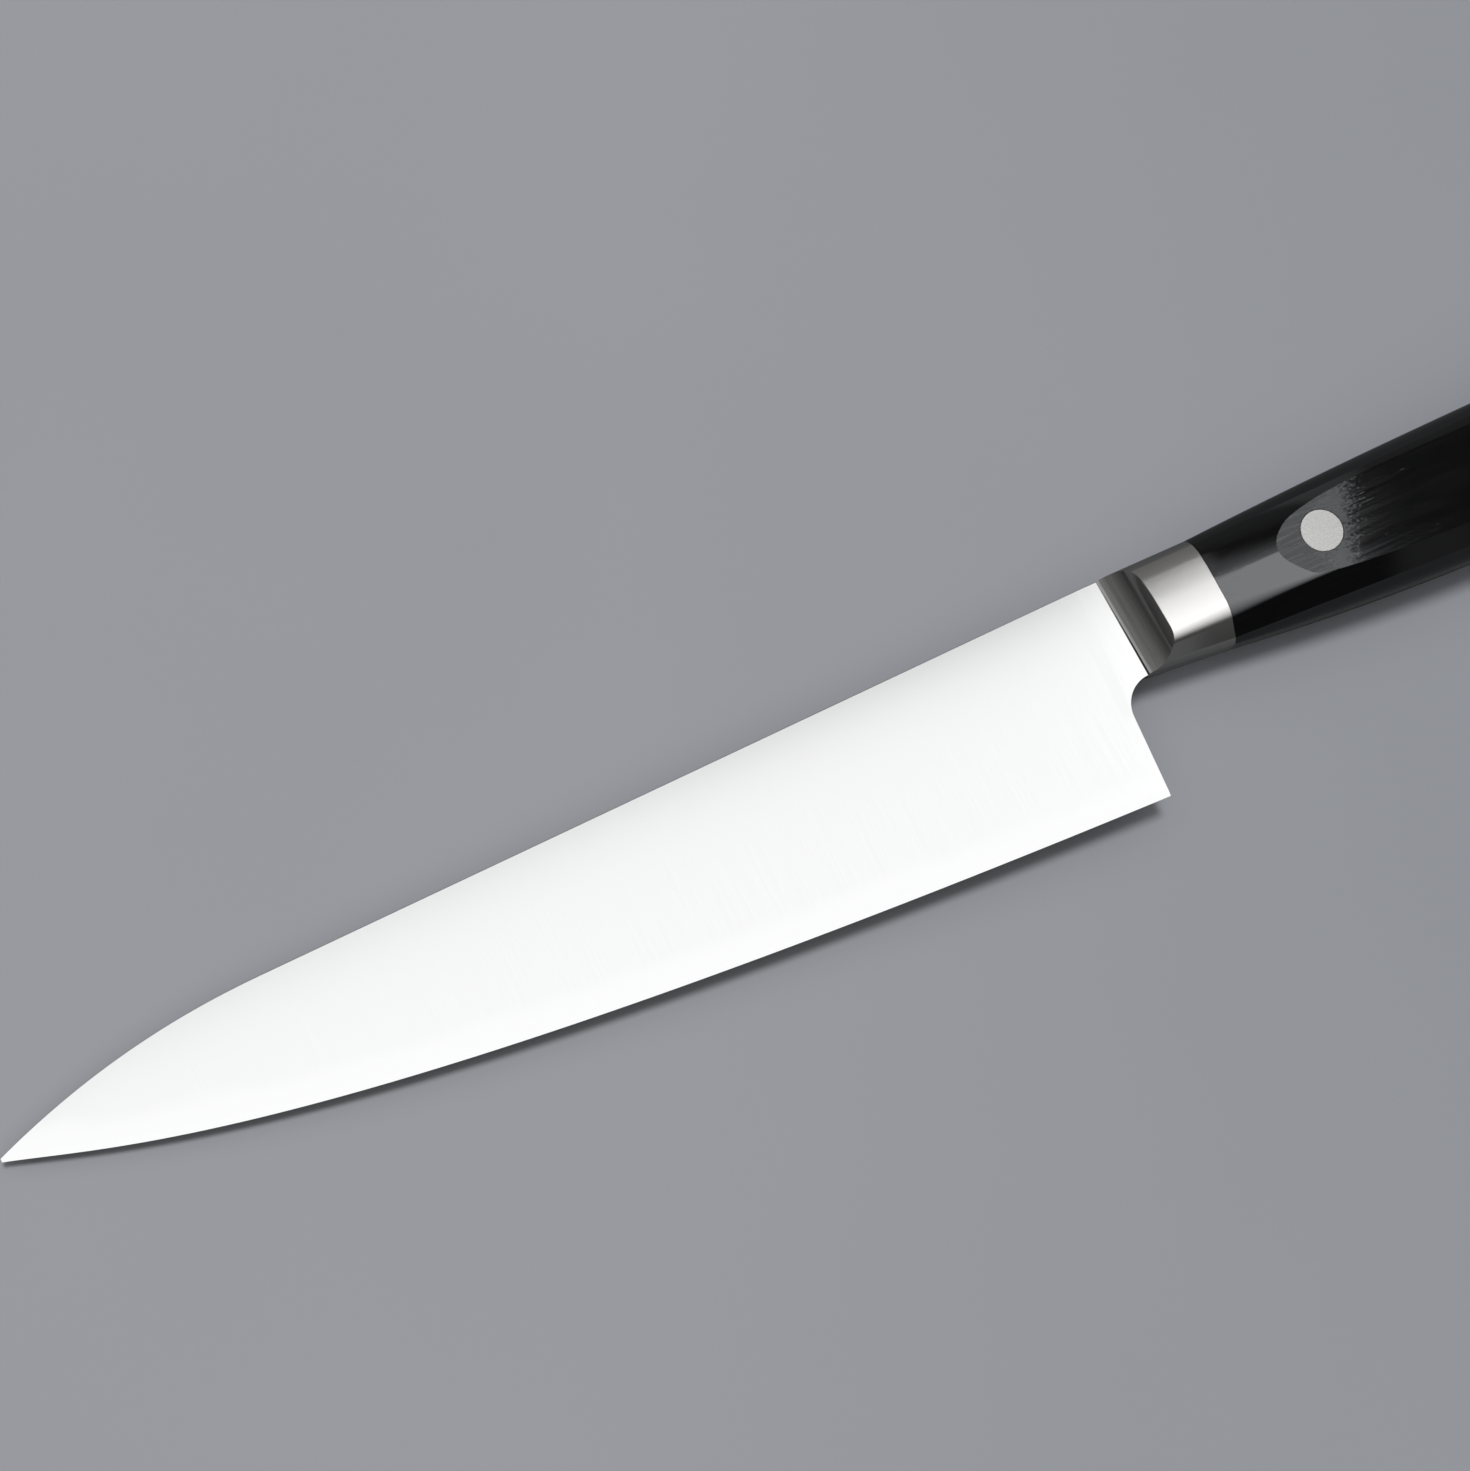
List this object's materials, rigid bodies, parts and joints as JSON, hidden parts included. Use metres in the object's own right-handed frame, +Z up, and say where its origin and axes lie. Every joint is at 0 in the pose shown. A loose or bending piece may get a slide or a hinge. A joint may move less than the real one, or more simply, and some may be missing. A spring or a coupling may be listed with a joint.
{
  "type": "petty knife",
  "caption": "Small kitchen knife with a slim pointed steel blade, a scooped steel bolster and a black wooden full-tang handle held by flush steel rivets.",
  "frame": {"origin": "on the surface the knife lies on, under the middle of its bounding box", "axes": "+X along the knife from the tip to the butt, +Y across the blade from the edge to the spine, +Z up from the right side, which it lies on, to the left side"},
  "size_m": [0.2638, 0.0298, 0.014],
  "materials": {
    "blade_steel": "fine satin, polished along the edge",
    "bolster_steel": "polished with faint grinding lines",
    "black_wood": "black laminated wood, sanded satin",
    "rivet_steel": "ground flush with the wood"
  },
  "bodies": {
    "root": {"blade": "blade_steel", "bolster_left": "bolster_steel", "bolster_right": "bolster_steel", "handle_scale_left": "black_wood", "handle_scale_right": "black_wood", "front_rivet_stud": "rivet_steel", "front_rivet_sleeve": "rivet_steel", "middle_rivet_stud": "rivet_steel", "middle_rivet_sleeve": "rivet_steel", "rear_rivet_stud": "rivet_steel", "rear_rivet_sleeve": "rivet_steel"}
  },
  "joints": []
}
